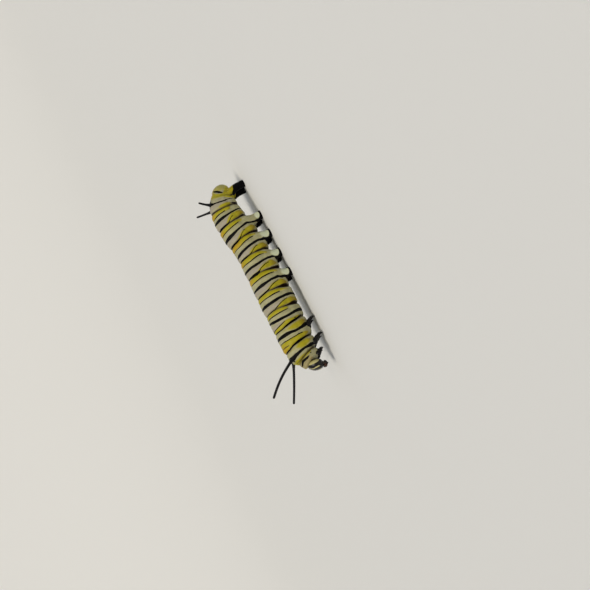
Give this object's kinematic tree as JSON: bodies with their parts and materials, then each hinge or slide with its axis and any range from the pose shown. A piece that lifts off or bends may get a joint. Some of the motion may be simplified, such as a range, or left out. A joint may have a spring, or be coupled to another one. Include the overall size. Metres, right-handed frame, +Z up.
{
  "type": "monarch butterfly larva",
  "caption": "Life-size model of a full-grown striped butterfly larva, standing level with its head lowered and its paired feelers raised.",
  "frame": {"origin": "on the floor, at the middle of the larva's box", "axes": "+X towards the tail, so the head points to -X; -Y is the larva's left side; +Z up from the floor"},
  "size_m": [0.0431, 0.013, 0.0142],
  "materials": {
    "skin": "soft satin skin, ringed in yellow, black and off-white",
    "proleg_skin": "soft satin skin, black with a pale spot",
    "filament_skin": "soft black skin, slightly velvety",
    "head_capsule": "glossy hard capsule, black with pale bands",
    "hard_limbs": "glossy hard black limbs"
  },
  "bodies": {
    "root": {"prothorax": "skin", "mesothorax": "skin", "metathorax": "skin", "abdomen_1": "skin", "abdomen_2": "skin", "abdomen_3": "skin", "abdomen_4": "skin", "abdomen_5": "skin", "abdomen_6": "skin", "abdomen_7": "skin", "abdomen_8": "skin", "abdomen_9": "skin", "anal_segment": "skin", "head": "head_capsule", "antenna_left": "hard_limbs", "leg_1_left": "hard_limbs", "leg_2_left": "hard_limbs", "leg_3_left": "hard_limbs", "proleg_3_left": "proleg_skin", "proleg_4_left": "proleg_skin", "proleg_5_left": "proleg_skin", "proleg_6_left": "proleg_skin", "anal_proleg_left": "proleg_skin", "front_filament_left": "filament_skin", "rear_filament_left": "filament_skin", "antenna_right": "hard_limbs", "leg_1_right": "hard_limbs", "leg_2_right": "hard_limbs", "leg_3_right": "hard_limbs", "proleg_3_right": "proleg_skin", "proleg_4_right": "proleg_skin", "proleg_5_right": "proleg_skin", "proleg_6_right": "proleg_skin", "anal_proleg_right": "proleg_skin", "front_filament_right": "filament_skin", "rear_filament_right": "filament_skin"}
  },
  "joints": []
}
